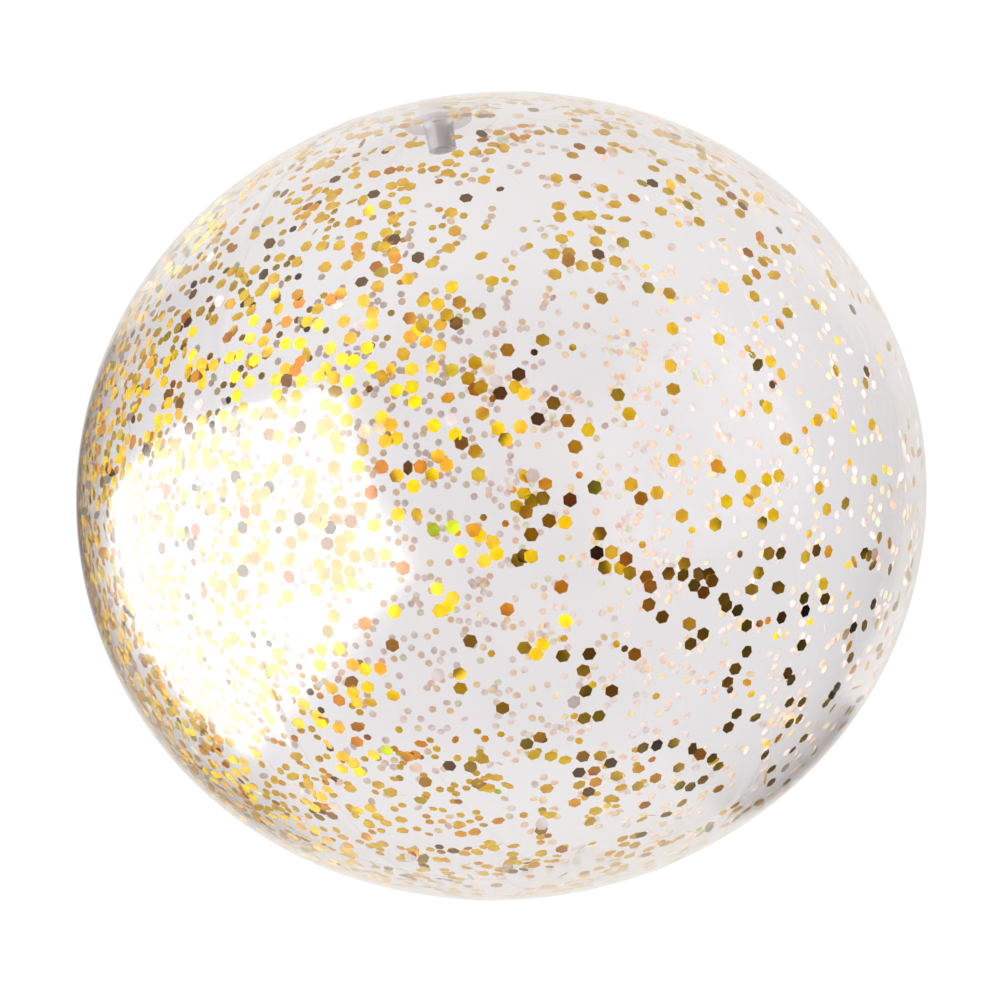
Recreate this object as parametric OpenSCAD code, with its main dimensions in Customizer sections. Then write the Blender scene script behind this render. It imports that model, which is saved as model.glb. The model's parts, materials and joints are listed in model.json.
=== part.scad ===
// Inflatable clear ball: six welded film panels, two round end patches, a push-in
// valve with a tethered plug and a check flap, and loose hexagonal glitter inside.
// Millimetres. The origin is the ball's centre. +Z is the pole axis, out of the valve.

/* [Ball] */
// Radius of the ball at its equator
equator_radius = 200; // [120:1:300]
// Half of the ball's height from pole to pole
pole_radius = 189.5; // [115:0.5:290]
// Radius of the side arc of the oval profile
side_arc_radius = 185; // [110:1:285]
// Number of panels round the ball
panel_count = 6; // [4:1:8]
// Thickness of the film
film = 0.25; // [0.15:0.05:1]
// Gap left between films that lie on each other
layer_gap = 0.05; // [0.02:0.01:0.2]
// Angle left between the butted edges of two panels
butt_angle = 0.03; // [0.01:0.01:0.2]

/* [Seams and patches] */
// Width of the welded lap at each seam
lap_width = 4.5; // [3:0.5:10]
// Width of the step where a lap leaves its own panel
lap_root = 0.6; // [0.4:0.1:2]
// Radius of the round patch at each pole
patch_radius = 30; // [20:1:60]
// Radius of the hole in the top patch
patch_hole_radius = 10.6; // [9:0.1:14]
// Radius at which the panel tips are cut off at the valve
tip_radius_top = 17.6; // [15:0.1:25]
// Radius at which the panel tips are cut off at the closed pole
tip_radius_bottom = 6; // [3:0.5:20]

/* [Valve body] */
// Outer radius of the flange welded under the top patch
flange_radius = 17; // [14:0.5:25]
// Radius of the flange's opening
flange_hole_radius = 8.2; // [7:0.1:12]
// Thickness of the flange
flange_thickness = 1; // [0.5:0.1:2]
// Height of the stem's rim above the pole of the film
stem_rise = 1.1; // [0.8:0.1:6]
// Length of the stem
stem_length = 16; // [12:0.5:25]
// Outer radius of the stem
stem_radius = 4.8; // [4:0.1:8]
// Radius of the bead round the stem's rim
bead_radius = 5.3; // [4.5:0.1:9]
// Height of that bead
bead_height = 1; // [0.5:0.1:3]
// Radius of the collar at the stem's foot
collar_radius = 6.4; // [5:0.1:8]
// Height of that collar
collar_height = 1.4; // [0.8:0.1:3]
// Radius of the mouth that takes the plug
mouth_radius = 3.2; // [2.5:0.1:5]
// Depth of that mouth
mouth_depth = 5.2; // [3:0.1:8]
// Radius of the seat that grips an inflating nozzle
seat_radius = 2.75; // [2:0.05:4]
// Length of that seat
seat_length = 8; // [4:0.5:12]
// Radius of the chamber above the check flap
chamber_radius = 3.3; // [2.8:0.1:5]
// Wall of the folding skirt between flange and stem
skirt_wall = 0.5; // [0.3:0.05:1]

/* [Plug and flap] */
// Distance from the valve's axis to the fold of the plug's strap
strap_reach = 9.4; // [8:0.1:14]
// Width of the strap
strap_width = 3.4; // [2:0.1:6]
// Thickness of the strap
strap_thickness = 0.6; // [0.4:0.1:1.5]
// Width of the stem's ear that carries the strap
ear_width = 4.4; // [2:0.1:8]
// Radius of the plug's cap
cap_radius = 5.6; // [4.5:0.1:8]
// Thickness of the plug's cap
cap_thickness = 1.3; // [0.8:0.1:3]
// Radius of the plug's pin under the cap
pin_top_radius = 2.85; // [2:0.05:4]
// Radius of the plug's pin at its tip
pin_tip_radius = 2.2; // [1.5:0.05:3.5]
// Length of the plug's pin
pin_length = 4.3; // [2:0.1:7]
// Distance from the valve's axis to the end of the pull tab
tab_reach = 9.6; // [7:0.1:14]
// Width of the pull tab
tab_width = 5; // [3:0.1:8]
// Radius of the check flap
flap_radius = 4.4; // [3.5:0.1:6]
// Thickness of the check flap
flap_thickness = 0.6; // [0.3:0.1:1.5]

/* [Glitter] */
// Width across the flats of one hexagonal flake
flake_width = 4.5; // [2:0.5:10]
// Thickness of one flake
flake_thickness = 0.15; // [0.05:0.05:0.5]
// Depth of the flakes behind the film
flake_depth = 0.35; // [0.2:0.05:2]
// Spacing of the flakes on one panel
flake_pitch = 36; // [20:1:80]
// Seed of the scatter
scatter_seed = 11; // [1:1:99]
// Number of flakes lying loose at the closed pole
loose_count = 19; // [7:1:40]

/* [Hidden] */

$fn = 96;
panel_angle = 360 / panel_count;
// centre of the side arc, and radius and centre of the polar arc that meets it smoothly
side_x = equator_radius - side_arc_radius;
cap_arc_radius = (side_x * side_x + pole_radius * pole_radius - side_arc_radius * side_arc_radius)
    / (2 * (pole_radius - side_arc_radius));
cap_y = cap_arc_radius - pole_radius;
// angle from the pole axis at which the two arcs meet
meet_angle = atan(side_x / cap_y);
far = 3 * equator_radius;

stem_top = pole_radius + stem_rise;
stem_foot = stem_top - stem_length;
plug_base = stem_top + 0.1;
seat_top = stem_top - mouth_depth;
seat_foot = seat_top - seat_length;
skirt_top = pole_radius - 0.5;
flap_top = stem_foot - 0.1;

// one sector of the profile's wall, between two heights over the film's outer face
module cap_wall(low, high) {
    intersection() {
        translate([0, -cap_y])
            difference() {
                circle(r = cap_arc_radius + high);
                circle(r = cap_arc_radius + low);
            }
        polygon([
            [0, -cap_y],
            [far * sin(meet_angle), far * cos(meet_angle) - cap_y],
            [0, far - cap_y]
        ]);
    }
}

module side_wall(low, high) {
    intersection() {
        translate([side_x, 0])
            difference() {
                circle(r = side_arc_radius + high);
                circle(r = side_arc_radius + low);
            }
        polygon([
            [side_x, 0],
            [side_x + far * sin(meet_angle), -far * cos(meet_angle)],
            [side_x + 2 * far, 0],
            [side_x + far * sin(meet_angle), far * cos(meet_angle)]
        ]);
    }
}

// the whole half profile, kept outside a radius at the top and another at the bottom
module profile_wall(low, high, top_radius, bottom_radius) {
    intersection() {
        union() {
            cap_wall(low, high);
            side_wall(low, high);
            mirror([0, 1]) cap_wall(low, high);
        }
        union() {
            translate([top_radius, 0]) square([far, far]);
            translate([bottom_radius, -far]) square([far, far + 0.01]);
        }
    }
}

// a film panel with the lap that is welded over the next panel's edge
module panel(index) {
    color([0.92, 0.92, 0.96, 0.35])
        rotate([0, 0, panel_angle * (index - 1)]) {
            rotate_extrude(angle = panel_angle - butt_angle)
                profile_wall(-film, 0, tip_radius_top, tip_radius_bottom);
            rotate([0, 0, panel_angle - butt_angle]) lap();
        }
}

module lap() {
    intersection() {
        rotate([0, 0, -4])
            rotate_extrude(angle = 14)
                profile_wall(layer_gap, layer_gap + film, patch_radius + 1, patch_radius + 1);
        translate([0, -lap_root, -far]) cube([far, lap_root + lap_width, 2 * far]);
    }
    intersection() {
        rotate([0, 0, -4])
            rotate_extrude(angle = 5)
                profile_wall(-film / 2, layer_gap + film / 2, patch_radius + 1, patch_radius + 1);
        translate([0, -lap_root, -far]) cube([far, lap_root - 0.02, 2 * far]);
    }
}

// round film patches over the panel tips
module end_patch_top() {
    color([0.90, 0.90, 0.95, 0.4])
        rotate_extrude()
            intersection() {
                cap_wall(layer_gap, layer_gap + film);
                translate([patch_hole_radius, 0]) square([patch_radius - patch_hole_radius, far]);
            }
}

module end_patch_bottom() {
    color([0.90, 0.90, 0.95, 0.4])
        mirror([0, 0, 1])
            rotate_extrude()
                intersection() {
                    cap_wall(layer_gap, layer_gap + film);
                    square([patch_radius, far]);
                }
}

// flange welded to the underside of the top patch
module valve_flange() {
    color([0.85, 0.86, 0.90, 0.7])
        rotate_extrude()
            intersection() {
                cap_wall(-flange_thickness, 0);
                translate([flange_hole_radius, 0]) square([flange_radius - flange_hole_radius, far]);
            }
}

// thin sleeve that lets the stem be pushed in or pulled out
module valve_skirt() {
    top_out = flange_hole_radius - 0.1;
    foot_in = collar_radius + 0.1;
    color([0.86, 0.87, 0.91, 0.6])
        rotate_extrude()
            polygon([
                [top_out, skirt_top],
                [top_out - skirt_wall, skirt_top],
                [foot_in, stem_foot + collar_height + 0.3],
                [foot_in, stem_foot],
                [foot_in + skirt_wall, stem_foot],
                [foot_in + skirt_wall, stem_foot + collar_height + 0.3]
            ]);
}

// stem with the plug's mouth, the nozzle's seat and the chamber over the flap
module valve_stem() {
    color([0.84, 0.85, 0.90, 0.75])
        difference() {
            union() {
                translate([0, 0, stem_foot]) cylinder(r = stem_radius, h = stem_length);
                translate([0, 0, stem_top - bead_height]) cylinder(r = bead_radius, h = bead_height);
                translate([0, 0, stem_foot]) cylinder(r = collar_radius, h = collar_height);
                translate([-strap_reach, -ear_width / 2, stem_top - strap_thickness])
                    cube([strap_reach - stem_radius + 1, ear_width, strap_thickness]);
            }
            translate([0, 0, seat_top]) cylinder(r = mouth_radius, h = mouth_depth + 1);
            translate([0, 0, seat_foot - 0.5]) cylinder(r = seat_radius, h = seat_length + 1);
            translate([0, 0, stem_foot - 1])
                cylinder(r = chamber_radius, h = seat_foot - stem_foot + 1);
        }
}

// plug with a tapered pin, a cap and a pull tab
module valve_plug() {
    color([0.86, 0.87, 0.92, 0.85]) {
        translate([0, 0, plug_base]) cylinder(r = cap_radius, h = cap_thickness);
        translate([0, 0, plug_base - pin_length])
            cylinder(r1 = pin_tip_radius, r2 = pin_top_radius, h = pin_length + 0.2);
        translate([0, -tab_width / 2, plug_base])
            cube([tab_reach - tab_width / 2, tab_width, cap_thickness - 0.4]);
        translate([tab_reach - tab_width / 2, 0, plug_base])
            cylinder(r = tab_width / 2, h = cap_thickness - 0.4);
    }
}

// strap from the plug's cap to the ear on the stem
module plug_strap() {
    color([0.86, 0.87, 0.92, 0.85])
        difference() {
            translate([-strap_reach, -strap_width / 2, plug_base])
                cube([strap_reach - cap_radius + 1, strap_width, strap_thickness]);
            translate([0, 0, plug_base - 1]) cylinder(r = cap_radius + 0.05, h = cap_thickness + 2);
        }
}

// flap that the inside air presses against the stem's foot
module check_flap() {
    color([0.80, 0.82, 0.88, 0.8]) {
        translate([0, 0, flap_top - flap_thickness]) cylinder(r = flap_radius, h = flap_thickness);
        translate([-flap_radius - 0.4, -2, flap_top - flap_thickness])
            cube([2.4, 4, flap_thickness]);
    }
}

// one flake lying against the inner face of the film, at an angle from the pole axis
module flake(polar, spin) {
    near_pole = polar < meet_angle;
    far_pole = polar > 180 - meet_angle;
    centre_x = near_pole || far_pole ? 0 : side_x;
    centre_z = near_pole ? -cap_y : far_pole ? cap_y : 0;
    reach = (near_pole || far_pole ? cap_arc_radius : side_arc_radius) - film - flake_depth;
    translate([centre_x, 0, centre_z])
        rotate([0, polar, 0])
            translate([0, 0, reach - flake_thickness])
                rotate([0, 0, spin])
                    cylinder(r = flake_width / sqrt(3), h = flake_thickness, $fn = 6);
}

// scattered flakes on one panel, one in each cell of a grid that narrows to the poles
module glitter(index) {
    rows = floor(PI * pole_radius / flake_pitch) - 2;
    row_step = 180 / (rows + 2);
    room = (flake_pitch - flake_width * 1.3) / flake_pitch;
    color([0.85, 0.62, 0.12])
        for (row = [1:rows]) {
            middle = row_step * (row + 0.5);
            across = equator_radius * sin(middle) * panel_angle * PI / 180;
            cells = max(1, floor(across / flake_pitch));
            cell_angle = panel_angle / cells;
            for (cell = [0:cells - 1]) {
                draw = rands(0, 1, 3, scatter_seed + 1000 * index + 40 * row + cell);
                polar = middle + (draw[0] - 0.5) * row_step * room;
                around = cell_angle * (cell + 0.5) + (draw[1] - 0.5) * cell_angle * room * 0.9;
                rotate([0, 0, panel_angle * (index - 1) + around]) flake(polar, draw[2] * 60);
            }
        }
}

// flakes that lie loose at the closed pole, in rings round one at the middle
module glitter_loose() {
    color([0.80, 0.56, 0.12]) {
        flake(180, 10);
        for (k = [1:loose_count - 1]) {
            ring = k < 7 ? 1 : k < 19 ? 2 : 3;
            first = ring == 1 ? 1 : ring == 2 ? 7 : 19;
            draw = rands(0, 1, 2, scatter_seed + 500 + k);
            around = (k - first) * 60 / ring + 8 * ring + 6 * draw[0];
            rotate([0, 0, around]) flake(180 - 2.3 * ring, 60 * draw[1]);
        }
    }
}

panel(1);  // panel_1
panel(2);  // panel_2
panel(3);  // panel_3
panel(4);  // panel_4
panel(5);  // panel_5
panel(6);  // panel_6
end_patch_top();
end_patch_bottom();
valve_flange();
valve_skirt();
valve_stem();
valve_plug();
plug_strap();
check_flap();
glitter(1);  // glitter_1
glitter(2);  // glitter_2
glitter(3);  // glitter_3
glitter(4);  // glitter_4
glitter(5);  // glitter_5
glitter(6);  // glitter_6
glitter_loose();
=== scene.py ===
import json
import math

import bmesh
import bpy
import numpy as np
from mathutils import Matrix, Vector

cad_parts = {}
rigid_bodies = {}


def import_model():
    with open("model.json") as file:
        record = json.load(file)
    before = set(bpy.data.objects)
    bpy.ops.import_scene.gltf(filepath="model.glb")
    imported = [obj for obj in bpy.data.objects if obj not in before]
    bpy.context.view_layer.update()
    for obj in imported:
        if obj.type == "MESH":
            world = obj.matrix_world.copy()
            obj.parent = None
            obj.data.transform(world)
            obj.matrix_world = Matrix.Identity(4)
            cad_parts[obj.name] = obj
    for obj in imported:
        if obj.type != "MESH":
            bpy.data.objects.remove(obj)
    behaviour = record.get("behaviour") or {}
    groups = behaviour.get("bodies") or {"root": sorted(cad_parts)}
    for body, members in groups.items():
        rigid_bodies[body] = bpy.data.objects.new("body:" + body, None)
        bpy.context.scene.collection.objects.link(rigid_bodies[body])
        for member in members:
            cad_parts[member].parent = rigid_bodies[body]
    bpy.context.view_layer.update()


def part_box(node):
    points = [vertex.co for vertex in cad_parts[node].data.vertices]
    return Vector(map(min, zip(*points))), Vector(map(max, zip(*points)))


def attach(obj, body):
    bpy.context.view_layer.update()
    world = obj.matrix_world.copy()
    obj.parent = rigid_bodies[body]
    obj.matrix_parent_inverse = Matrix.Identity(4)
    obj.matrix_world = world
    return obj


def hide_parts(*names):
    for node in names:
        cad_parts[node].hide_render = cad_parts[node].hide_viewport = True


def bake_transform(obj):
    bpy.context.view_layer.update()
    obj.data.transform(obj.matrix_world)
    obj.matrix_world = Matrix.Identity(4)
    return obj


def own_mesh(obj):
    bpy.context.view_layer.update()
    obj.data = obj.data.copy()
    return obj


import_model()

scene = bpy.context.scene
MM = 0.001

# ---------------------------------------------------------------- frame
# the oval profile of the film's outer face: one arc round the side and a flatter one over each pole
PATCH_RISE = 0.3 * MM
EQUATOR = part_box("panel_2")[1].y
POLE = -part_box("end_patch_bottom")[0].z - PATCH_RISE
SIDE_R = 185 * MM
SIDE_X = EQUATOR - SIDE_R
CAP_R = (SIDE_X**2 + POLE**2 - SIDE_R**2) / (2 * (POLE - SIDE_R))
CAP_Z = CAP_R - POLE
MEET = math.atan2(SIDE_X, CAP_Z)
FILM = 0.25 * MM
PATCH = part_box("end_patch_top")[1].x
PANELS = 6
GORE = math.radians(360 / PANELS)
FULL_TURN = 2 * math.pi


def wall_arc(polar):
    """Centre and radius of the profile's arc at an angle of its normal from +Z."""
    if polar < MEET:
        return 0.0, -CAP_Z, CAP_R
    if polar > math.pi - MEET:
        return 0.0, CAP_Z, CAP_R
    return SIDE_X, 0.0, SIDE_R


def wall_point(polar, around, height):
    """A point at a height over the film's outer face."""
    cx, cz, r = wall_arc(polar)
    rho = cx + (r + height) * math.sin(polar)
    return (rho * math.cos(around), rho * math.sin(around), cz + (r + height) * math.cos(polar))


def wall_rho(polar):
    """How far the film's outer face is from the axis."""
    cx, _, r = wall_arc(polar)
    return cx + r * math.sin(polar)


def polar_at(rho):
    """The angle near +Z at which the film is rho from the axis."""
    return math.asin(rho / CAP_R)


def normal_at(polar, around):
    """The film's outward normal."""
    return Vector((math.sin(polar) * math.cos(around), math.sin(polar) * math.sin(around), math.cos(polar)))


# ---------------------------------------------------------------- camera
# the ball's short axis leans to the left, so the camera is rolled to the right
TILT = math.radians(9.6)
CAMERA_Y = -0.6
camera_data = bpy.data.cameras.new("camera")
camera = bpy.data.objects.new("camera", camera_data)
scene.collection.objects.link(camera)
scene.camera = camera
camera_data.sensor_width = 36
camera_data.lens = 43.37
camera_data.clip_start, camera_data.clip_end = 0.02, 100
right = Vector((math.cos(TILT), 0, -math.sin(TILT)))
up = Vector((math.sin(TILT), 0, math.cos(TILT)))
camera.matrix_world = Matrix((
    (right.x, up.x, 0, 0),
    (right.y, up.y, -1, CAMERA_Y),
    (right.z, up.z, 0, 0),
    (0, 0, 0, 1),
))
camera_data.shift_x = -0.0013
camera_data.shift_y = -0.0042

# colours are shown as they are, so that white stays white
scene.view_settings.view_transform = "Standard"
scene.view_settings.look = "None"


# ---------------------------------------------------------------- small helpers
def add_mesh(name, points, faces, materials, indices=None):
    """A smooth-shaded mesh object; indices gives the material of each face."""
    mesh = bpy.data.meshes.new(name)
    mesh.from_pydata([tuple(point) for point in points], [], faces)
    for material in materials:
        mesh.materials.append(material)
    if indices is not None:
        mesh.polygons.foreach_set("material_index", indices)
    mesh.polygons.foreach_set("use_smooth", [True] * len(mesh.polygons))
    mesh.validate()
    mesh.update()
    ob = bpy.data.objects.new(name, mesh)
    scene.collection.objects.link(ob)
    return ob


def sharpen(ob, degrees):
    """Keeps edges sharper than an angle as hard shading edges."""
    ob.data.set_sharp_from_angle(angle=math.radians(degrees))


class Nodes:
    """A material's or world's node tree, with short ways to add and link nodes."""

    def __init__(self, owner):
        owner.use_nodes = True
        self.tree = owner.node_tree
        self.tree.nodes.clear()

    def add(self, kind, **values):
        node = self.tree.nodes.new(kind)
        for key, value in values.items():
            setattr(node, key, value)
        return node

    def link(self, output, socket):
        self.tree.links.new(output, socket)

    def feed(self, value, socket):
        """Links a socket to another node's output, or sets it to a plain number or colour."""
        if isinstance(value, (int, float, tuple)):
            socket.default_value = value
        else:
            self.link(value, socket)

    def math(self, operation, *values):
        node = self.add("ShaderNodeMath", operation=operation)
        for value, socket in zip(values, node.inputs):
            self.feed(value, socket)
        return node.outputs[0]

    def ramp(self, value, low, high, to_low=0.0, to_high=1.0):
        """Goes smoothly from to_low to to_high as the value goes from low to high."""
        node = self.add("ShaderNodeMapRange", interpolation_type="SMOOTHSTEP")
        self.link(value, node.inputs["Value"])
        node.inputs["From Min"].default_value = low
        node.inputs["From Max"].default_value = high
        node.inputs["To Min"].default_value = to_low
        node.inputs["To Max"].default_value = to_high
        return node.outputs["Result"]

    def mix(self, factor, a, b):
        """Mixes two colours, which are sockets 6 and 7 of the node."""
        node = self.add("ShaderNodeMix", data_type="RGBA")
        for value, index in ((factor, 0), (a, 6), (b, 7)):
            self.feed(value, node.inputs[index])
        return node.outputs[2]

    def noise(self, scale, detail, rough, vector):
        node = self.add("ShaderNodeTexNoise")
        node.inputs["Scale"].default_value = scale
        node.inputs["Detail"].default_value = detail
        node.inputs["Roughness"].default_value = rough
        self.link(vector, node.inputs["Vector"])
        return node.outputs["Fac"]


# ---------------------------------------------------------------- studio
LEVEL = Matrix.Rotation(TILT, 3, "Y")
WHITE, JUST_WHITE = (1, 1, 1, 1), 1.02


def direction(azimuth, elevation):
    """A unit vector, level with the camera; azimuth is measured from +Y towards the camera's right."""
    turn, lift = math.radians(azimuth), math.radians(elevation)
    return LEVEL @ Vector((math.sin(turn) * math.cos(lift), math.cos(turn) * math.cos(lift), math.sin(lift)))


world = bpy.data.worlds.new("studio")
scene.world = world
studio = Nodes(world)
sky = studio.add("ShaderNodeTexCoord").outputs["Generated"]
# wide soft areas of the studio: direction, colour, where each starts to fade in, and where it is full
areas = (
    (direction(0, 74), (0.66, 0.62, 0.58, 1), 62, 42),
    (direction(0, -74), (0.72, 0.69, 0.65, 1), 46, 28),
    (direction(92, -14), (0.06, 0.06, 0.07, 1), 40, 20),
    (direction(172, -10), (0.056, 0.038, 0.032, 1), 74, 42),
    (direction(0, 0), (0.80, 0.79, 0.77, 1), 62, 44),
    (direction(0, 36), (0.92, 0.90, 0.87, 1), 28, 14),
    (direction(0, -36), (0.92, 0.90, 0.87, 1), 28, 14),
    (direction(36, 30), (0.90, 0.88, 0.87, 1), 28, 14),
    (direction(36, -26), (0.95, 0.93, 0.91, 1), 20, 12),
    (direction(-34, 36), (1.0, 0.98, 0.96, 1), 22, 10),
    (direction(-112, 54), (0.80, 0.78, 0.76, 1), 34, 16),
    (direction(-45, -2), (0.10, 0.095, 0.11, 1), 23, 14),
    (direction(-72, 15), (0.14, 0.13, 0.16, 1), 24, 10),
    (direction(-50, -31), (0.14, 0.13, 0.15, 1), 25, 13),
    (direction(76, -32), (0.02, 0.02, 0.04, 1), 22, 14),
)


def lean(towards):
    """How far a direction of the studio leans towards another: the cosine of the angle between them."""
    dot = studio.add("ShaderNodeVectorMath", operation="DOT_PRODUCT")
    studio.link(sky, dot.inputs[0])
    dot.inputs[1].default_value = towards
    return dot.outputs["Value"]


def cone(towards, fade, full):
    """A mask that is 1 within full degrees of a direction, and 0 beyond fade degrees."""
    return studio.ramp(lean(towards), math.cos(math.radians(fade)), math.cos(math.radians(full)))


colour = (0.40, 0.36, 0.38, 1)
for towards, tint, fade, full in areas:
    colour = studio.mix(cone(towards, fade, full), colour, tint)
# a dark flag low on the right, cut off by a straight edge above and another below
lobe = cone(direction(64, -35), 43, 27)
under_edge = studio.ramp(lean(direction(88, 58)), -0.01, 0.03, 1.0, 0.0)
over_edge = studio.ramp(lean(direction(92, 29)), 0.02, 0.08)
flag = studio.math("MULTIPLY", studio.math("MULTIPLY", lobe, under_edge), over_edge)
colour = studio.mix(flag, colour, (0.08, 0.08, 0.09, 1))
# the dark room behind the camera isn't even: a few warm patches of furniture and wall
patches = studio.ramp(studio.noise(2.6, 2.0, 0.5, sky), 0.52, 0.60)
patches = studio.math("MULTIPLY", studio.ramp(lean((0, -1, 0)), 0.35, 0.8), patches)
colour = studio.mix(patches, colour, (0.40, 0.20, 0.12, 1))
# the camera itself sees plain white behind the ball
plain = studio.add("ShaderNodeBackground")
plain.inputs["Color"].default_value = WHITE
plain.inputs["Strength"].default_value = JUST_WHITE
room = studio.add("ShaderNodeBackground")
studio.link(colour, room.inputs["Color"])
ray = studio.add("ShaderNodeLightPath")
either = studio.add("ShaderNodeMixShader")
studio.link(ray.outputs["Is Camera Ray"], either.inputs[0])
studio.link(room.outputs[0], either.inputs[1])
studio.link(plain.outputs[0], either.inputs[2])
studio.link(either.outputs[0], studio.add("ShaderNodeOutputWorld").inputs["Surface"])


def softbox(name, azimuth, elevation, distance, width, height, turn, radiance):
    """A rectangular studio light that faces the ball, turned about its own axis, in metres and degrees."""
    data = bpy.data.lights.new(name, "AREA")
    data.shape = "RECTANGLE"
    data.size, data.size_y = width, height
    data.energy = radiance * math.pi * width * height
    ob = bpy.data.objects.new(name, data)
    scene.collection.objects.link(ob)
    towards = LEVEL.inverted() @ direction(azimuth, elevation)
    ob.matrix_world = (
        LEVEL.to_4x4()
        @ Matrix.Translation(towards * distance)
        @ towards.to_track_quat("Z", "Y").to_matrix().to_4x4()
        @ Matrix.Rotation(math.radians(turn), 4, "Z")
    )
    ob.visible_camera = False
    return ob


# the film mirrors one strong key; the foil gets gentler lights round about it, and one on each side
key_light = softbox("key_light", -111, -13, 2.2, 3.8, 2.5, 20.5, 6.1)
key_light.visible_diffuse = False
foil_lights = (
    softbox("foil_key", -111, -13, 2.2, 4.0, 2.7, 20, 0.62),
    softbox("foil_near", -164, -10, 2.2, 1.4, 2.8, 0, 1.7),
    softbox("foil_high", -112, 27, 2.2, 4.8, 1.0, 16, 1.6),
    softbox("foil_low", -108, -54, 2.2, 3.6, 0.8, 20, 1.2),
    softbox("foil_top", -150, 66, 2.2, 4.4, 3.0, 0, 0.22),
    softbox("foil_bottom", -120, -76, 2.2, 3.6, 2.4, 0, 0.2),
    softbox("foil_edge", -42, -6, 2.2, 1.7, 4.0, 0, 2.0),
    softbox("foil_right", 112, 12, 2.2, 3.6, 2.1, 0, 1.0),
)
# two more that nothing mirrors: one fills in everything, and one lights the valve
fill_light = softbox("fill_light", -100, 5, 2.4, 3.0, 3.0, 0, 2.0)
valve_light = softbox("valve_light", -150, 10, 2.4, 4.0, 3.0, 0, 1.5)
valve_light.visible_glossy = False
fill_light.visible_glossy = False
clear_group = bpy.data.collections.new("clear_group")
foil_group = bpy.data.collections.new("foil_group")
key_light.light_linking.receiver_collection = clear_group
for light in foil_lights:
    light.light_linking.receiver_collection = foil_group

# a white floor just below the ball, seen by the camera alone
FLOOR_HALF, FLOOR_Z = 8, -POLE - 0.4 * MM
corners = [(x * FLOOR_HALF, y * FLOOR_HALF, FLOOR_Z) for x, y in ((-1, -1), (1, -1), (1, 1), (-1, 1))]
floor_material = bpy.data.materials.new("floor")
nodes = Nodes(floor_material)
glow = nodes.add("ShaderNodeEmission")
glow.inputs["Color"].default_value = WHITE
glow.inputs["Strength"].default_value = JUST_WHITE
nodes.link(glow.outputs[0], nodes.add("ShaderNodeOutputMaterial").inputs["Surface"])
floor = add_mesh("floor", corners, [(0, 1, 2, 3)], [floor_material])
floor.visible_glossy = False
floor.visible_diffuse = False
floor.visible_transmission = False
floor.visible_shadow = False


# ---------------------------------------------------------------- materials
def clear_vinyl(name, clear, base, haze, rough, wave, edge=0.95, behind=0.1):
    """Clear film: lets light straight through, mirrors by Fresnel, with a trace of haze.

    base is the share mirrored head on, and edge how much more at a grazing angle. behind is how
    much of the base share a face keeps when it is met from inside the film. wave is the strength
    of its unevenness."""
    material = bpy.data.materials.new(name)
    nodes = Nodes(material)
    place = nodes.add("ShaderNodeTexCoord").outputs["Object"]
    facing = nodes.add("ShaderNodeLayerWeight")
    facing.inputs["Blend"].default_value = 0.5
    rim = nodes.math("POWER", facing.outputs["Facing"], 5.0)
    side = nodes.add("ShaderNodeNewGeometry")
    head_on = nodes.math("MULTIPLY_ADD", side.outputs["Backfacing"], base * (behind - 1.0), base)
    share = nodes.math("MULTIPLY_ADD", rim, edge, head_on)
    through = nodes.add("ShaderNodeBsdfTransparent")
    through.inputs["Color"].default_value = clear
    mirror = nodes.add("ShaderNodeBsdfGlossy")
    mirror.inputs["Color"].default_value = WHITE
    smear = nodes.noise(18, 3, 0.6, place)
    nodes.link(nodes.ramp(smear, 0.3, 0.7, rough * 0.7, rough * 1.4), mirror.inputs["Roughness"])
    bump = nodes.add("ShaderNodeBump")
    bump.inputs["Strength"].default_value = wave
    bump.inputs["Distance"].default_value = 0.002
    nodes.link(nodes.noise(9, 2, 0.5, place), bump.inputs["Height"])
    nodes.link(bump.outputs[0], mirror.inputs["Normal"])
    milk = nodes.add("ShaderNodeBsdfDiffuse")
    milk.inputs["Color"].default_value = (0.93, 0.92, 0.95, 1)
    body = nodes.add("ShaderNodeMixShader")
    body.inputs[0].default_value = haze
    nodes.link(through.outputs[0], body.inputs[1])
    nodes.link(milk.outputs[0], body.inputs[2])
    whole = nodes.add("ShaderNodeMixShader")
    nodes.link(share, whole.inputs[0])
    nodes.link(body.outputs[0], whole.inputs[1])
    nodes.link(mirror.outputs[0], whole.inputs[2])
    nodes.link(whole.outputs[0], nodes.add("ShaderNodeOutputMaterial").inputs["Surface"])
    return material


FILM_TINT = (0.959, 0.951, 0.954, 1)
film_material = clear_vinyl("clear_film", FILM_TINT, base=0.085, haze=0.002, rough=0.15, wave=0.10)
inner_material = clear_vinyl(
    "clear_film_inside", FILM_TINT, base=0.007, haze=0.002, rough=0.20, wave=0.10, edge=0.6
)
vinyl_material = clear_vinyl(
    "valve_vinyl", (0.955, 0.955, 0.97, 1), base=0.04, haze=0.30, rough=0.16, wave=0.2, edge=0.85, behind=0.3
)


def foil(name, tint, rough, metal=1.0):
    """Lacquered foil whose colour drifts a little from place to place."""
    material = bpy.data.materials.new(name)
    nodes = Nodes(material)
    place = nodes.add("ShaderNodeTexCoord").outputs["Object"]
    shader = nodes.add("ShaderNodeBsdfPrincipled")
    drift = nodes.ramp(nodes.noise(240, 1, 0.5, place), 0.3, 0.7)
    darker = tuple(c * k for c, k in zip(tint, (0.86, 0.74, 0.70))) + (1,)
    nodes.link(nodes.mix(drift, darker, (*tint, 1)), shader.inputs["Base Color"])
    shader.inputs["Metallic"].default_value = metal
    shader.inputs["Roughness"].default_value = rough
    shader.inputs["Specular Tint"].default_value = (1.0, 0.93, 0.62, 1)
    nodes.link(shader.outputs[0], nodes.add("ShaderNodeOutputMaterial").inputs["Surface"])
    return material


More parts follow.
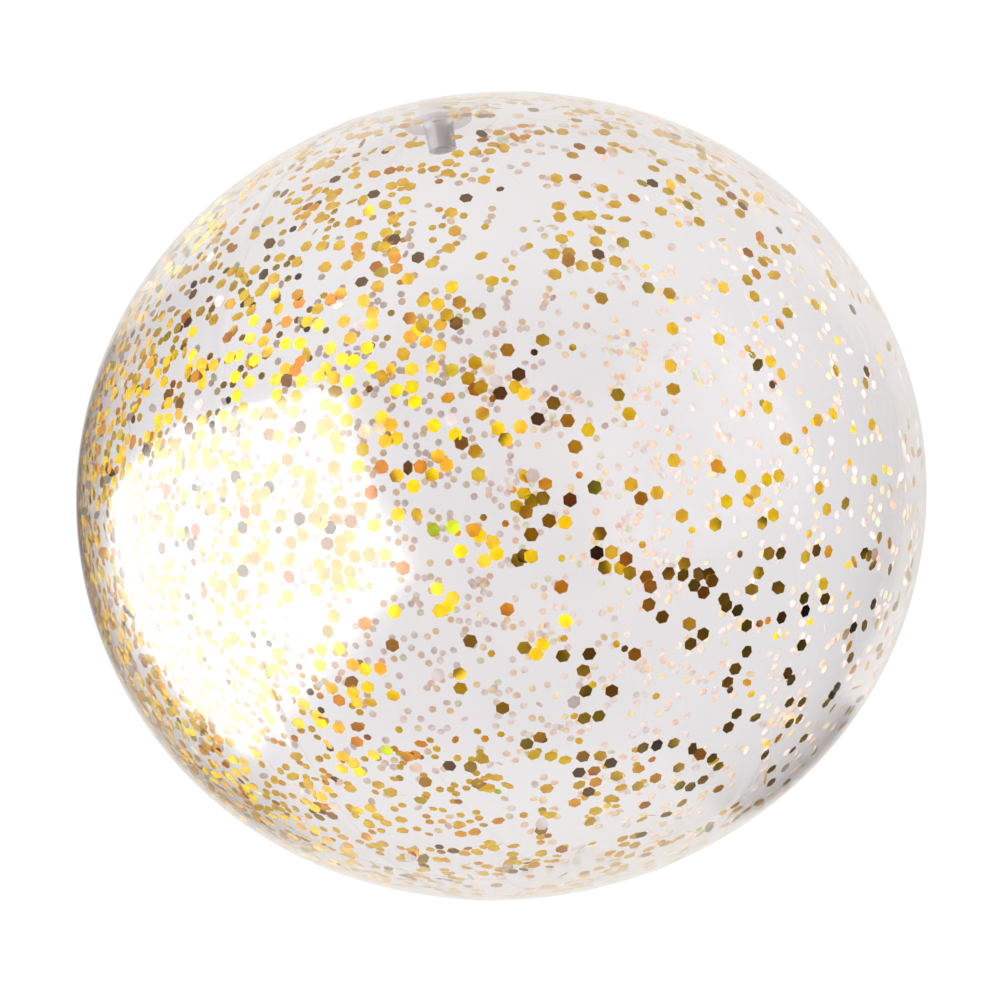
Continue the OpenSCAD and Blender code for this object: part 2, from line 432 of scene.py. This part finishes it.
# outward faces, with how common each is
fronts = (
    (foil("foil_yellow", (1.0, 0.72, 0.01), 0.22), 36),
    (foil("foil_gold", (1.0, 0.66, 0.045), 0.22), 36),
    (foil("foil_orange", (1.0, 0.49, 0.03), 0.22), 10),
    (foil("foil_copper", (0.62, 0.24, 0.02), 0.20), 6),
    (foil("foil_olive", (0.62, 0.50, 0.03), 0.20), 4),
    (foil("foil_lime", (0.62, 0.80, 0.03), 0.22), 1.2),
    (foil("foil_umber", (0.17, 0.085, 0.015), 0.18), 7),
)
# inward faces: the pale side of the foil
backs = (
    (foil("back_silver", (0.95, 0.93, 0.93), 0.5, 0.2), 42),
    (foil("back_dove", (0.84, 0.82, 0.83), 0.5, 0.2), 13),
    (foil("back_peach", (1.0, 0.82, 0.68), 0.5, 0.2), 19),
    (foil("back_straw", (1.0, 0.91, 0.62), 0.5, 0.2), 19),
    (foil("back_sage", (0.80, 0.92, 0.70), 0.5, 0.2), 7),
)
foil_materials = [material for material, _ in fronts + backs]


# ---------------------------------------------------------------- film panels
LAP = 4.5 * MM
RAISED = 0.18 * MM
LAP_GAP = 0.02 * MM
top_edge = polar_at(PATCH)
bottom_edge = math.pi - polar_at(PATCH)
ROWS, COLUMNS, RING_STEPS = 96, 36, 96


def film_panel(index):
    """One gore as a closed thin shell; its last strip is the thicker welded lap."""
    seam = GORE * (index - 1)
    outer, inner = [], []
    for i in range(ROWS + 1):
        polar = top_edge + (bottom_edge - top_edge) * i / ROWS
        rho = wall_rho(polar)
        start = seam + (LAP + LAP_GAP) / rho
        end = seam + GORE
        along = [(start + (end - 0.25 * MM / rho - start) * j / COLUMNS, 0.0) for j in range(COLUMNS + 1)]
        along += [
            (end + 0.5 * MM / rho, RAISED * 0.7),
            (end + 1.2 * MM / rho, RAISED),
            (end + LAP / 2 / rho, RAISED),
            (end + (LAP - 1.2 * MM) / rho, RAISED),
            (end + (LAP - 0.5 * MM) / rho, RAISED * 0.6),
            (end + LAP / rho, LAP_GAP),
        ]
        outer.append([wall_point(polar, a, h) for a, h in along])
        inner.append([wall_point(polar, a, -FILM) for a, _ in along])
    wide = len(outer[0])
    points = [p for row in outer for p in row] + [p for row in inner for p in row]
    base = len(points) // 2
    faces, slots = [], []
    for i in range(ROWS):
        for j in range(wide - 1):
            a, b, c, d = i * wide + j, i * wide + j + 1, (i + 1) * wide + j + 1, (i + 1) * wide + j
            faces.append((a, d, c, b))
            faces.append((base + a, base + b, base + c, base + d))
            slots += [0, 1]
    for j in range(wide - 1):
        a, b = j, j + 1
        faces.append((a, b, base + b, base + a))
        a, b = ROWS * wide + j, ROWS * wide + j + 1
        faces.append((b, a, base + a, base + b))
    for i in range(ROWS):
        a, b = i * wide, (i + 1) * wide
        faces.append((b, a, base + a, base + b))
        a, b = i * wide + wide - 1, (i + 1) * wide + wide - 1
        faces.append((a, b, base + b, base + a))
    slots += [0] * (len(faces) - len(slots))
    ob = add_mesh(f"film_{index}", points, faces, [film_material, inner_material], slots)
    sharpen(ob, 50)
    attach(ob, "ball")
    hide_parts(f"panel_{index}")


def revolve(name, outline, materials):
    """A closed ring turned from an outline of (rho, z), or a disc where rho is 0."""
    points, faces, rings = [], [], []
    for rho, z in outline:
        if rho < 1e-9:
            rings.append([len(points)])
            points.append((0, 0, z))
        else:
            rings.append(list(range(len(points), len(points) + RING_STEPS)))
            turns = [FULL_TURN * k / RING_STEPS for k in range(RING_STEPS)]
            points += [(rho * math.cos(turn), rho * math.sin(turn), z) for turn in turns]
    closed = len(rings[0]) > 1
    for a, b in zip(rings, rings[1:] + ([rings[0]] if closed else [])):
        for k in range(RING_STEPS):
            j = (k + 1) % RING_STEPS
            if len(a) == 1:
                faces.append((a[0], b[k], b[j]))
            elif len(b) == 1:
                faces.append((a[k], b[0], a[j]))
            else:
                faces.append((a[k], b[k], b[j], a[j]))
    ob = add_mesh(name, points, faces, materials)
    sharpen(ob, 40)
    return ob


for index in range(1, PANELS + 1):
    film_panel(index)


def cap_line(rho_list, height, sign):
    """Points on the polar arc at a height over the film, at the top (1) or the bottom (-1)."""
    r = CAP_R + height
    return [(rho, sign * (math.sqrt(r * r - rho * rho) - CAP_Z)) for rho in rho_list]


# the end patches: round discs welded over the panels' tips, the upper one with a hole for the valve
hole = 10.6 * MM
edge = PATCH - 0.02 * MM
span = [hole + (edge - 0.5 * MM - hole) * k / 8 for k in range(9)]
outline = cap_line([hole + 0.1 * MM], 0.1 * MM, 1) + cap_line([hole + 0.3 * MM], PATCH_RISE, 1)
outline += cap_line(span[1:], PATCH_RISE, 1) + cap_line([edge], 0.05 * MM, 1)
outline += cap_line([edge], -FILM, 1) + cap_line(span[::-1], -FILM, 1)
patch_top = revolve("patch_top", outline[::-1], [film_material])
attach(patch_top, "ball")
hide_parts("end_patch_top")

span = [(edge - 0.5 * MM) * k / 10 for k in range(11)]
outline = cap_line(span, PATCH_RISE, -1) + cap_line([edge], 0.05 * MM, -1)
outline += cap_line([edge], -FILM, -1) + cap_line(span[::-1], -FILM, -1)
patch_bottom = revolve("patch_bottom", outline, [film_material])
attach(patch_bottom, "ball")
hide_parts("end_patch_bottom")


# ---------------------------------------------------------------- glitter
# where flakes gather: direction, how much more than elsewhere, and how tightly
gathers = (
    (direction(-103, -14), 2.3, 4.5),
    (direction(-124, -40), 0.5, 10.0),
    (direction(-152, 12), 3.1, 30.0),
    (direction(-168, 5), 1.1, 40.0),
    (direction(158, -24), 0.14, 12.0),
    (direction(180, 56), 0.75, 9.0),
    (direction(12, -15), 0.62, 1.4),
    (direction(136, 16), -0.29, 2.6),
)
FLAKE = 4.5 * MM
THICK = 0.12 * MM
COUNT = 4750
CELL = 8 * MM
VALVE_CLEAR = 20 * MM
# centres nearer than this overlap, and nearer than the second would hide each other
BESIDE, TOO_NEAR = 5.2 * MM, 2.0 * MM
LAYERS = 4
rng = np.random.default_rng(23)


def density(place):
    """How thickly the flakes lie in a direction from the centre."""
    total = 0.38
    for towards, more, tight in gathers:
        total += more * math.exp(tight * (place.dot(towards) - 1))
    return max(total, 0.05)


most = max(density(direction(a, e)) for a in range(-180, 180, 10) for e in range(-90, 91, 10))
placed = []
cells = {}


def try_place(polar, around, crowd):
    """Adds a flake, unless it would lie on others and isn't let crowd, or would lie too much on them.

    Each flake that it lies on pushes it one layer inwards."""
    if not polar_at(VALVE_CLEAR) < polar < math.pi:
        return
    point = Vector(wall_point(polar, around, -FILM))
    key = tuple(int(math.floor(c / CELL)) for c in point)
    near = [
        placed[i]
        for dx in (-1, 0, 1) for dy in (-1, 0, 1) for dz in (-1, 0, 1)
        for i in cells.get((key[0] + dx, key[1] + dy, key[2] + dz), ())
    ]
    gaps = [((other - point).length, level) for _, _, other, level in near]
    closest = min((gap for gap, _ in gaps), default=1.0)
    layer = 0
    if closest < BESIDE:
        if not crowd or closest < TOO_NEAR:
            return
        layer = 1 + max(level for gap, level in gaps if gap < BESIDE + 0.4 * MM)
        if layer > LAYERS:
            return
    cells.setdefault(key, []).append(len(placed))
    placed.append((polar, around, point, layer))


while len(placed) < COUNT:
    z, turn, keep, crowd, group, reach, way = rng.uniform(0, 1, 7).tolist()
    if group < 0.14 and len(placed) > 200:
        # a flake that has come to rest against one that is already there
        polar, around, _, _ = placed[int(turn * len(placed))]
        step = (3.8 + 4.5 * reach) * MM / EQUATOR
        polar += step * math.cos(FULL_TURN * way)
        around += step * math.sin(FULL_TURN * way) / max(math.sin(polar), 0.1)
        try_place(polar, around % FULL_TURN, crowd < 0.5)
        continue
    polar, around = math.acos(2 * z - 1), FULL_TURN * turn
    if keep * most < density(normal_at(polar, around)):
        try_place(polar, around, crowd < 0.10)


def pick(choices, draw):
    """The index of the choice that a draw from 0 to 1 falls on."""
    total = sum(share for _, share in choices)
    for k, (_, share) in enumerate(choices):
        draw -= share / total
        if draw < 0:
            return k
    return len(choices) - 1


# points, faces and face materials of the flakes on each panel, and of those loose at the lowest pole
bins = {k: ([], [], []) for k in range(1, PANELS + 1)}
bins["loose"] = ([], [], [])
LOOSE = math.radians(9)
RADIUS = FLAKE / math.sqrt(3)
CUT_EDGE = 1  # the material of a flake's thin edge, gold
FRONT = Vector((0, -1, 0))
for polar, around, _, layer in placed:
    draws = rng.uniform(0, 1, 9).tolist()
    spin, front_draw, back_draw, tilt_draw, tilt_way, flip, curl_draw, curl_way, spare = draws
    tilt = math.radians(1.0 + 10.0 * tilt_draw**1.5)
    if spare > 0.86:
        # a few flakes stand well off the film
        tilt = math.radians(12 + 26 * tilt_draw)
    curl = 0.30 * MM * curl_draw**2
    depth = 0.25 * MM + THICK + 0.3 * MM * layer + curl + math.sin(tilt) * FLAKE * 0.58
    centre = Vector(wall_point(polar, around, -FILM - depth))
    normal = normal_at(polar, around)
    side = Matrix.Rotation(FULL_TURN * tilt_way, 3, normal) @ normal.orthogonal().normalized()
    normal = Matrix.Rotation(tilt, 3, side) @ normal
    along = (Matrix.Rotation(math.pi * spin, 3, normal) @ side).normalized()
    across = normal.cross(along)
    key = "loose" if math.pi - polar < LOOSE else int(around // GORE) % PANELS + 1
    points, faces, indices = bins[key]
    base = len(points)
    for level in (THICK / 2, -THICK / 2):
        points.append(centre + level * normal)
        for k in range(6):
            corner = math.radians(60 * k)
            lift = level + curl * math.cos(corner - math.pi * curl_way) ** 2
            reach = RADIUS * (math.cos(corner) * along + math.sin(corner) * across)
            points.append(centre + reach + lift * normal)
    outward, inward = pick(fronts, front_draw), len(fronts) + pick(backs, back_draw)
    # on the crowded left side most flakes show gold on both faces, except where they face front or back:
    # painted reflection, the inward faces turned gold where they are seen edge-on on the key light's side, in
    # place of its grazing glint
    facing = normal.dot(FRONT)
    painted_glint_share = 0.85 if normal.x < 0 else 0.06
    if spare < painted_glint_share * max(0.0, 1.0 - (abs(facing) / 0.75) ** 3):
        inward = outward
    elif flip > 0.96:
        outward, inward = inward, outward
    for k in range(6):
        i, j = 1 + k, 1 + (k + 1) % 6
        faces.append((base, base + i, base + j))
        faces.append((base + 7, base + 7 + j, base + 7 + i))
        faces.append((base + i, base + 7 + i, base + 7 + j, base + j))
        indices += [outward, inward, CUT_EDGE]
for key, (points, faces, indices) in bins.items():
    ob = add_mesh(f"flakes_{key}", points, faces, foil_materials, indices)
    sharpen(ob, 50)
    foil_group.objects.link(ob)
    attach(ob, "ball")
    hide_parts(f"glitter_{key}")


# ---------------------------------------------------------------- valve
stem_low, stem_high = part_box("valve_stem")
plug_low, plug_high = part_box("valve_plug")
strap_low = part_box("plug_strap")[0]
flap_low, flap_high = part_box("check_flap")
FOOT, RIM = stem_low.z, stem_high.z
SEAT = plug_low.z + 4.3 * MM
SKIRT_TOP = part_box("valve_skirt")[1].z
valve_group = bpy.data.collections.new("valve_group")


def dress(ob, body, node):
    """Puts a piece of the valve on its body in place of its CAD node."""
    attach(ob, body)
    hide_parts(node)
    valve_group.objects.link(ob)


def shift_outline(outline, inwards):
    """A convex outline moved inwards by a distance."""
    moved = []
    for k, (x, y) in enumerate(outline):
        before, after = outline[k - 1], outline[(k + 1) % len(outline)]
        tangent = Vector((after[0] - before[0], after[1] - before[1])).normalized()
        moved.append((x - tangent.y * inwards, y + tangent.x * inwards))
    return moved


def slab(outline, low, high, round_by):
    """Points and faces of a flat plate with softened edges; the outline runs anticlockwise."""
    small = shift_outline(outline, round_by)
    middle = shift_outline(outline, round_by * 0.3)
    levels = (
        (small, low), (middle, low + round_by * 0.3), (outline, low + round_by),
        (outline, high - round_by), (middle, high - round_by * 0.3), (small, high),
    )
    points = [(x, y, z) for loop, z in levels for x, y in loop]
    count = len(outline)
    faces = [tuple(range(count))[::-1], tuple(range(5 * count, 6 * count))]
    for level in range(5):
        for k in range(count):
            a, b = level * count + k, level * count + (k + 1) % count
            faces.append((a, b, b + count, a + count))
    return points, faces


def tongue(start, tip, width):
    """Outline of a strip along X with a round end at tip, square at start."""
    half = width / 2
    way = 1 if tip > start else -1
    centre = tip - way * half
    arc = [math.pi * (k / 10 - 0.5) for k in range(11)]
    outline = [(centre + way * half * math.cos(a), way * half * math.sin(a)) for a in arc]
    return [(start, -way * half)] + outline + [(start, way * half)]


def extend(ob, points, faces):
    """Adds a closed shell to a mesh object."""
    bm = bmesh.new()
    bm.from_mesh(ob.data)
    verts = [bm.verts.new(p) for p in points]
    for face in faces:
        bm.faces.new([verts[k] for k in face]).smooth = True
    bmesh.ops.recalc_face_normals(bm, faces=bm.faces)
    bm.to_mesh(ob.data)
    bm.free()


# flange: a disc under the patch, rippled by its weld rings
flange_in, flange_out = 8.2 * MM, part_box("valve_flange")[1].x
width = flange_out - flange_in
over = [flange_in + 0.3 * MM + (width - 0.6 * MM) * k / 24 for k in range(25)]
outline = cap_line([flange_in], -0.75 * MM, 1)
outline += cap_line(over, -0.98 * MM, 1)
outline += cap_line([flange_out], -0.75 * MM, 1)
for rho in over[::-1]:
    ring = 0.12 * MM * math.cos(FULL_TURN * (rho - over[0]) / (over[-1] - over[0]) * 3)
    outline += cap_line([rho], -FILM - 0.14 * MM + ring, 1)
flange = revolve("flange", outline, [vinyl_material])
dress(flange, "ball", "valve_flange")

# skirt: a thin bell from the flange down to the stem's foot
bell = []
for k in range(17):
    down = k / 16
    rho = 8.05 * MM - (1 - (1 - down) ** 2.2) * 1.05 * MM
    bell.append((rho, SKIRT_TOP + (FOOT - SKIRT_TOP) * down))
outline = bell + [(rho - 0.42 * MM, z) for rho, z in bell[::-1]]
skirt = revolve("skirt", outline, [vinyl_material])
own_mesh(skirt)
dress(skirt, "ball", "valve_skirt")

# stem: collar, barrel and rim bead outside; mouth, seat and flap chamber inside
outline = [
    (3.3, 0.0), (6.0, 0.0), (6.3, 0.1), (6.4, 0.4), (6.4, 1.0), (6.3, 1.3), (6.0, 1.4), (5.2, 1.5),
    (4.9, 1.8), (4.8, 2.3), (4.8, 14.8), (4.95, 15.0), (5.25, 15.2), (5.3, 15.4), (5.25, 15.8),
    (5.0, 16.0), (3.6, 16.0), (3.3, 15.9), (3.2, 15.6), (3.2, 11.0), (3.1, 10.8), (2.75, 10.6),
    (2.75, 3.0), (2.9, 2.8), (3.3, 2.6),
]
stem = revolve("stem", [(rho * MM, FOOT + z * MM) for rho, z in outline], [vinyl_material])
ear = tongue(-4.9 * MM, stem_low.x, 4.4 * MM)
extend(stem, *slab(ear, RIM - 0.6 * MM, RIM, 0.15 * MM))
sharpen(stem, 50)
dress(stem, "valve", "valve_stem")

# plug: tapered pin with a bead, dished cap, and a pull tab with grip ribs
outline = [
    (0.0, 0.0), (1.8, 0.0), (2.15, 0.2), (2.3, 0.7), (2.5, 1.1), (2.5, 1.5), (2.4, 1.8), (2.6, 3.4),
    (2.8, 4.1), (3.0, 4.3), (5.2, 4.3), (5.5, 4.4), (5.6, 4.7), (5.6, 5.2), (5.5, 5.5), (5.2, 5.6),
    (4.3, 5.6), (4.0, 5.5), (3.7, 5.3), (0.0, 5.3),
]
plug = revolve("plug", [(rho * MM, plug_low.z + z * MM) for rho, z in outline], [vinyl_material])
extend(plug, *slab(tongue(5.0 * MM, plug_high.x, 5.0 * MM), SEAT, SEAT + 0.9 * MM, 0.2 * MM))
for k in range(3):
    x = (6.5 + 0.9 * k) * MM
    rib = [(x, -1.6 * MM), (x + 0.4 * MM, -1.6 * MM), (x + 0.4 * MM, 1.6 * MM), (x, 1.6 * MM)]
    extend(plug, *slab(rib, SEAT + 0.85 * MM, SEAT + 1.15 * MM, 0.1 * MM))
sharpen(plug, 50)
dress(plug, "plug", "valve_plug")

# strap: runs from the cap to its fold and round into the stem's ear
fold_x, fold_z = strap_low.x, SEAT - 0.05 * MM
middle = [(-5.3 * MM + (fold_x + 5.3 * MM) * k / 8, strap_low.z + 0.3 * MM) for k in range(9)]
# round the fold, in steps of about 30 degrees
bend = strap_low.z + 0.3 * MM - fold_z
middle += [(fold_x - bend * math.sin(a), fold_z + bend * math.cos(a)) for a in (0.52, 1.05, 1.57, 2.09, 2.62)]
middle += [(fold_x + 0.1 * MM, fold_z - bend)]
points, faces = [], []
HALF, THIN = 1.7 * MM, 0.26 * MM
# its cross-section: how far across, and how far through its thickness
section = (
    (-HALF, -0.5), (-HALF, 0.5), (-HALF * 0.92, 1), (HALF * 0.92, 1),
    (HALF, 0.5), (HALF, -0.5), (HALF * 0.92, -1), (-HALF * 0.92, -1),
)
SIDES = len(section)
for k, (x, z) in enumerate(middle):
    before, after = middle[max(k - 1, 0)], middle[min(k + 1, len(middle) - 1)]
    along = Vector((after[0] - before[0], after[1] - before[1])).normalized()
    points += [(x - along.y * through * THIN, y, z + along.x * through * THIN) for y, through in section]
    if k:
        for side in range(SIDES):
            a, b = SIDES * (k - 1) + side, SIDES * (k - 1) + (side + 1) % SIDES
            faces.append((a, b, b + SIDES, a + SIDES))
faces += [tuple(range(SIDES)), tuple(range(len(points) - SIDES, len(points)))]
strap = add_mesh("strap", [], [], [vinyl_material])
extend(strap, points, faces)
sharpen(strap, 50)
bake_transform(strap)
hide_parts("plug_strap")
valve_group.objects.link(strap)

# check flap: a thin disc hinged on a small tongue
FLAP_R = 4.4 * MM
turns = [math.radians(10 * k) for k in range(36)]
disc = [(FLAP_R * math.cos(turn), FLAP_R * math.sin(turn)) for turn in turns]
flap = add_mesh("flap", [], [], [vinyl_material])
extend(flap, *slab(disc, flap_low.z, flap_high.z, 0.15 * MM))
hinge_strip = tongue(-2.5 * MM, flap_low.x, 4.0 * MM)
extend(flap, *slab(hinge_strip, flap_low.z + 0.05 * MM, flap_high.z - 0.05 * MM, 0.12 * MM))
sharpen(flap, 50)
dress(flap, "flap", "check_flap")
valve_light.light_linking.receiver_collection = valve_group

# the key light is mirrored by everything clear, and by none of the flakes
for ob in list(scene.objects):
    if ob.type == "MESH" and ob.name != "floor" and not ob.name.startswith("flakes"):
        clear_group.objects.link(ob)
